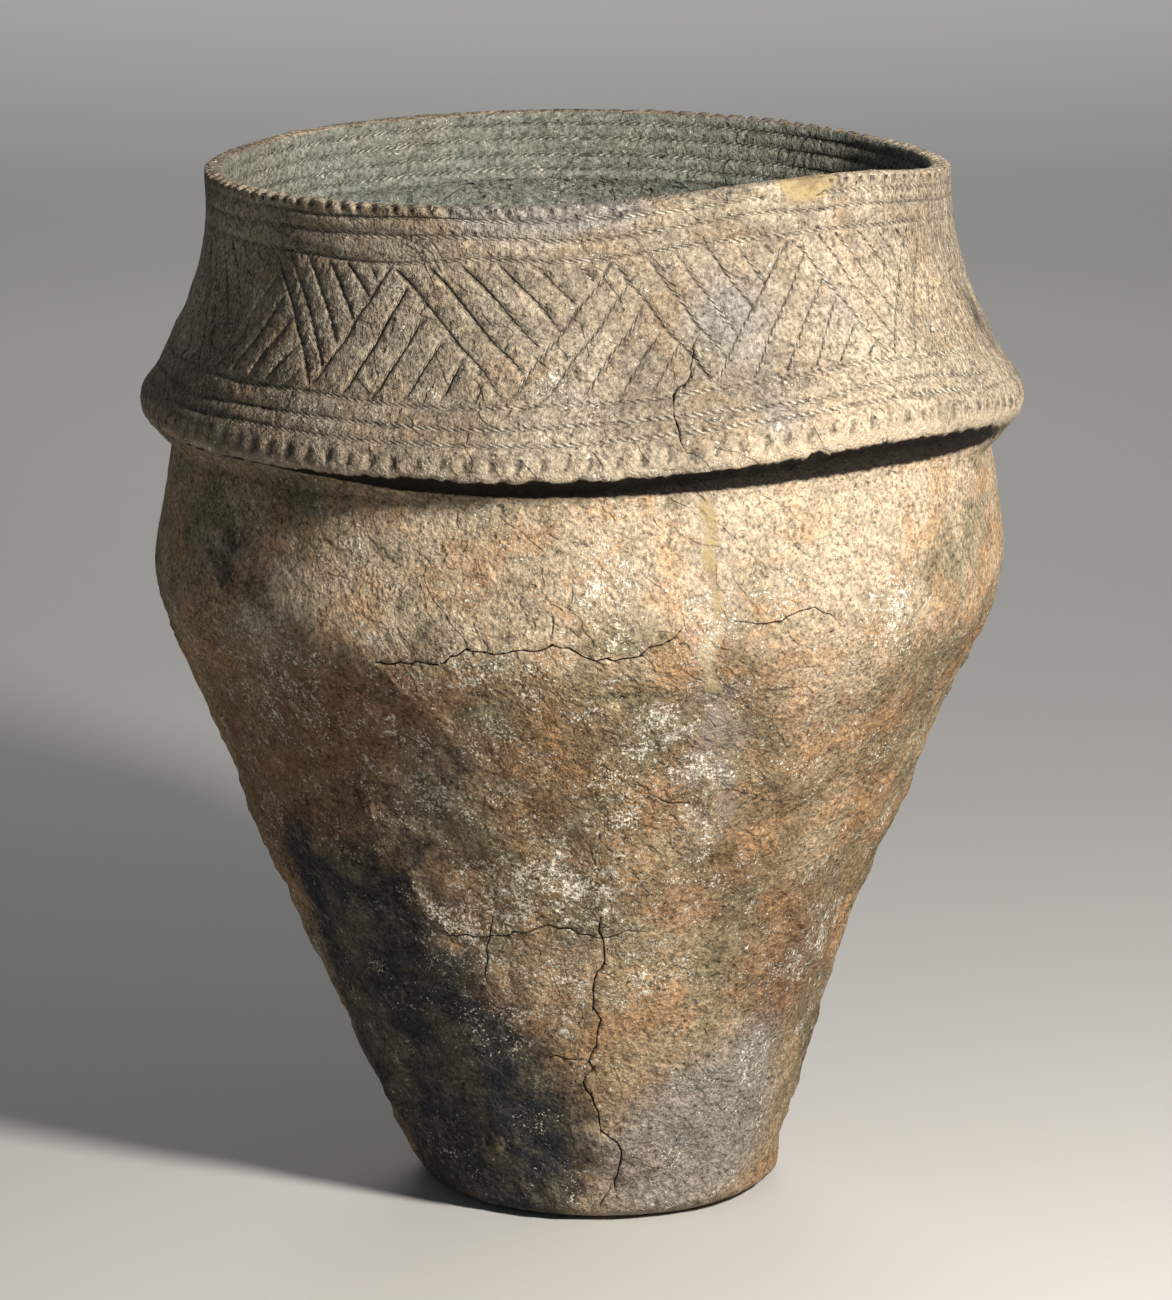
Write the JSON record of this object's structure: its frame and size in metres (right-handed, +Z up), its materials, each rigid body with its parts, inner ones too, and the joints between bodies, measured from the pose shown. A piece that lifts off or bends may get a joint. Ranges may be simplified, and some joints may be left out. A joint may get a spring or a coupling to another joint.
{
  "type": "collared cremation urn",
  "caption": "Hand-built open clay urn with a narrow foot, flaring body, rounded shoulder and deep hollow-faced collar pressed with twisted-cord lines and hatching.",
  "frame": {"origin": "centre of the flat foot, on the plane the urn stands on", "axes": "+Z up along the urn's axis; -Y out through the decorated front that the picture shows; +X to that front view's right"},
  "size_m": [0.3394, 0.3394, 0.4114],
  "materials": {
    "fired_clay": "rough unglazed low-fired earthenware, sandy buff to red-brown with grey fire clouds, pale crusts and dark cracks"
  },
  "bodies": {
    "root": {"urn": "fired_clay"}
  },
  "joints": []
}
